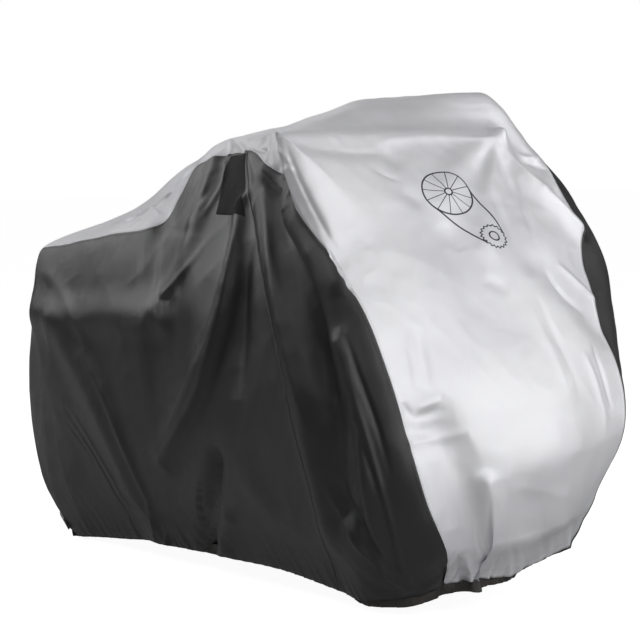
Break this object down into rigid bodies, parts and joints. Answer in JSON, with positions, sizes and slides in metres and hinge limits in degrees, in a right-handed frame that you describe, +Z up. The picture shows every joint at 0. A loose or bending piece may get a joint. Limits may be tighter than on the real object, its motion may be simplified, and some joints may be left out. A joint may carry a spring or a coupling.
{
  "type": "bicycle cover",
  "caption": "Fitted outdoor bicycle cover, hanging as over parked bicycles: silver coated band from rear to front, charcoal side panels, black patch and a dark hem casing.",
  "frame": {"origin": "centre of the bounding box, at the height of the hem's lowest point, which is the ground", "axes": "+X to the front wheels, +Y to the far side of the picture's view, +Z up"},
  "size_m": [1.9025, 0.8383, 1.146],
  "materials": {
    "silver_cloth": "satin silver coating on a fine plain weave",
    "charcoal_cloth": "satin coated fine plain weave",
    "black_patch": "matt black webbing cloth",
    "hem_casing": "matt woven tape"
  },
  "bodies": {
    "root": {"band": "silver_cloth", "side_near_rear": "charcoal_cloth", "side_near_front": "charcoal_cloth", "side_far_rear": "charcoal_cloth", "side_far_front": "charcoal_cloth", "hem_casing": "hem_casing", "patch": "black_patch"}
  },
  "joints": []
}
